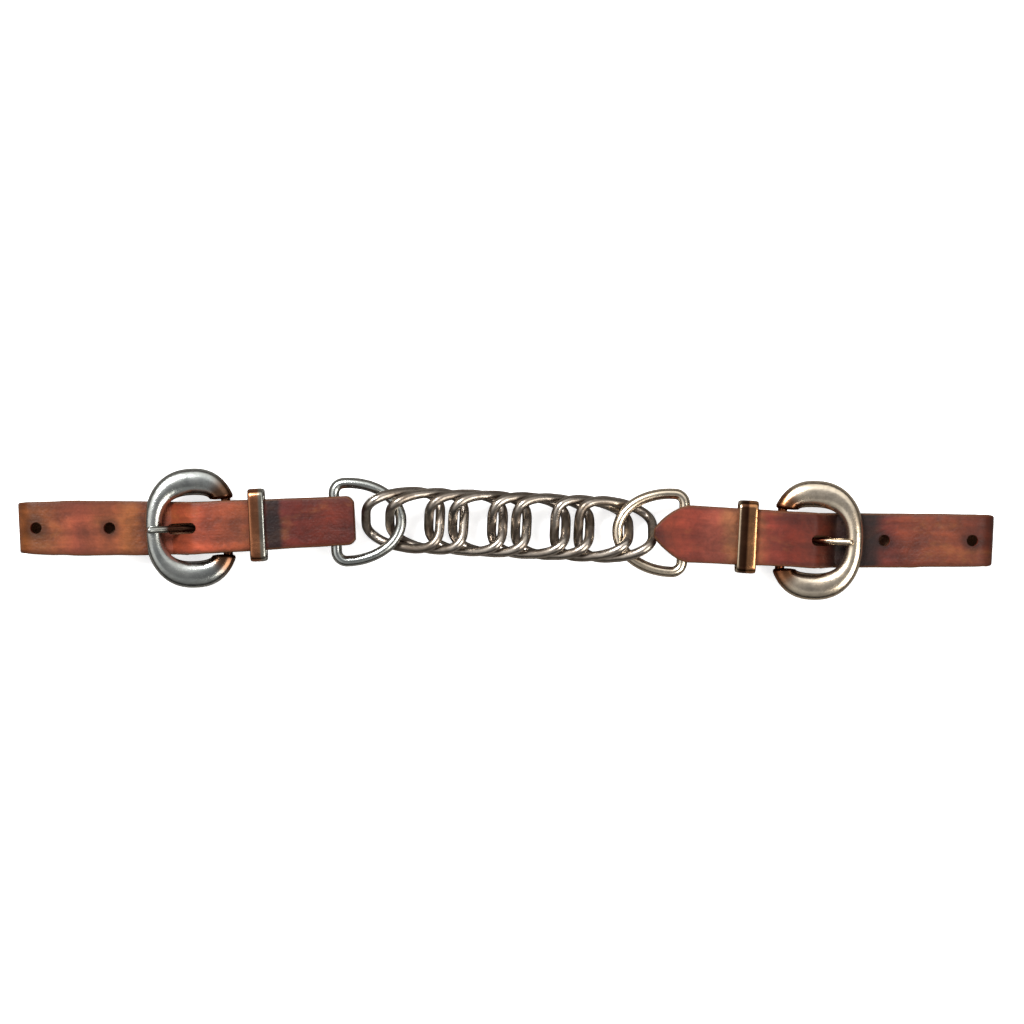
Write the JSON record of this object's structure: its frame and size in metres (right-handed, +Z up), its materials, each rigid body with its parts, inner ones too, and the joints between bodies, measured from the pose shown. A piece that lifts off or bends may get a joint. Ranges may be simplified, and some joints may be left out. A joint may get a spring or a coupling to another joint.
{
  "type": "curb strap with chain",
  "caption": "Western curb strap: two leather buckle straps with metal keepers, joined through D-rings by a flat twisted double-link curb chain.",
  "frame": {"origin": "middle of the bounding box in plan, on the plane the strap lies on", "axes": "+X along the strap, from the left bit loop to the right one; +Y across it; +Z up, on the side the buckles show"},
  "size_m": [0.2702, 0.0362, 0.0148],
  "materials": {
    "leather_left": "worn oiled leather",
    "leather_right": "worn oiled leather",
    "thread": "waxed thread",
    "nickel_left": "polished nickel plate",
    "nickel_right": "polished nickel plate, warm tone",
    "chain_metal": "worn plated steel"
  },
  "bodies": {
    "left_strap": {"left_strap": "leather_left", "left_stitching": "thread"},
    "right_strap": {"right_strap": "leather_right", "right_stitching": "thread"},
    "left_buckle_frame": {"left_buckle_frame": "nickel_left"},
    "left_buckle_tongue": {"left_buckle_tongue": "nickel_left"},
    "left_keeper": {"left_keeper": "nickel_left"},
    "left_d_ring": {"left_d_ring": "nickel_left"},
    "chain_link_1": {"chain_link_1": "chain_metal"},
    "chain_link_2": {"chain_link_2": "chain_metal"},
    "chain_link_3": {"chain_link_3": "chain_metal"},
    "chain_link_4": {"chain_link_4": "chain_metal"},
    "chain_link_5": {"chain_link_5": "chain_metal"},
    "chain_link_6": {"chain_link_6": "chain_metal"},
    "chain_link_7": {"chain_link_7": "chain_metal"},
    "chain_link_8": {"chain_link_8": "chain_metal"},
    "right_d_ring": {"right_d_ring": "nickel_right"},
    "right_keeper": {"right_keeper": "nickel_right"},
    "right_buckle_tongue": {"right_buckle_tongue": "nickel_right"},
    "right_buckle_frame": {"right_buckle_frame": "nickel_right"}
  },
  "joints": [
    {"name": "left_buckle_swing", "type": "hinge", "parent": "left_strap", "child": "left_buckle_frame", "pos_m": [-0.07716, 0.00213, 0.00605], "axis": [-0.0489, 0.9988, 0], "range_deg": [0, 3]},
    {"name": "left_tongue_swing", "type": "hinge", "parent": "left_buckle_frame", "child": "left_buckle_tongue", "pos_m": [-0.07716, 0.00213, 0.00605], "axis": [-0.0489, 0.9988, 0], "range_deg": [0, 1.5]},
    {"name": "left_keeper_slide", "type": "slide", "parent": "left_strap", "child": "left_keeper", "axis": [-0.9988, -0.0489, 0], "range_m": [-0.012, 0.0006]},
    {"name": "left_d_ring_swing", "type": "hinge", "parent": "left_strap", "child": "left_d_ring", "pos_m": [-0.0472, 0.00359, 0.0067], "axis": [0.0489, -0.9988, 0], "range_deg": [-60, 15]},
    {"name": "link_2_swing", "type": "hinge", "parent": "left_d_ring", "child": "chain_link_2", "pos_m": [-0.0296, 0.00411, 0.0067], "axis": [-0.0489, -0.9988, 0], "range_deg": [-7, 7]},
    {"name": "link_1_swing", "type": "hinge", "parent": "chain_link_2", "child": "chain_link_1", "pos_m": [-0.02516, 0.00389, 0.0067], "axis": [-0.0489, -0.9988, 0], "range_deg": [-2, 2]},
    {"name": "link_3_swing", "type": "hinge", "parent": "chain_link_2", "child": "chain_link_3", "pos_m": [-0.01647, 0.00347, 0.0067], "axis": [-0.0489, -0.9988, 0], "range_deg": [-10, 10]},
    {"name": "link_4_swing", "type": "hinge", "parent": "chain_link_3", "child": "chain_link_4", "pos_m": [-0.00778, 0.00304, 0.0067], "axis": [-0.0489, -0.9988, 0], "range_deg": [-4, 4]},
    {"name": "link_5_swing", "type": "hinge", "parent": "chain_link_4", "child": "chain_link_5", "pos_m": [0.00091, 0.00262, 0.0067], "axis": [-0.0489, -0.9988, 0], "range_deg": [-10, 10]},
    {"name": "link_6_swing", "type": "hinge", "parent": "chain_link_5", "child": "chain_link_6", "pos_m": [0.0096, 0.00219, 0.0067], "axis": [-0.0489, -0.9988, 0], "range_deg": [-4, 4]},
    {"name": "link_7_swing", "type": "hinge", "parent": "chain_link_6", "child": "chain_link_7", "pos_m": [0.01829, 0.00177, 0.0067], "axis": [-0.0489, -0.9988, 0], "range_deg": [-10, 10]},
    {"name": "link_8_swing", "type": "hinge", "parent": "chain_link_7", "child": "chain_link_8", "pos_m": [0.02698, 0.00134, 0.0067], "axis": [-0.0489, -0.9988, 0], "range_deg": [-2, 2]},
    {"name": "right_d_ring_swing", "type": "hinge", "parent": "chain_link_7", "child": "right_d_ring", "pos_m": [0.03143, 0.00113, 0.0067], "axis": [-0.0489, -0.9988, 0], "range_deg": [-8, 8]},
    {"name": "right_strap_swing", "type": "hinge", "parent": "right_d_ring", "child": "right_strap", "pos_m": [0.049, 0.0002, 0.0067], "axis": [-0.0523, -0.9986, 0], "range_deg": [-60, 1]},
    {"name": "right_buckle_swing", "type": "hinge", "parent": "right_strap", "child": "right_buckle_frame", "pos_m": [0.07606, -0.00122, 0.00605], "axis": [-0.0523, -0.9986, 0], "range_deg": [0, 3]},
    {"name": "right_tongue_swing", "type": "hinge", "parent": "right_buckle_frame", "child": "right_buckle_tongue", "pos_m": [0.07606, -0.00122, 0.00605], "axis": [-0.0523, -0.9986, 0], "range_deg": [0, 1.5]},
    {"name": "right_keeper_slide", "type": "slide", "parent": "right_strap", "child": "right_keeper", "axis": [0.9986, -0.0523, 0], "range_m": [-0.0085, 0.0006]}
  ]
}
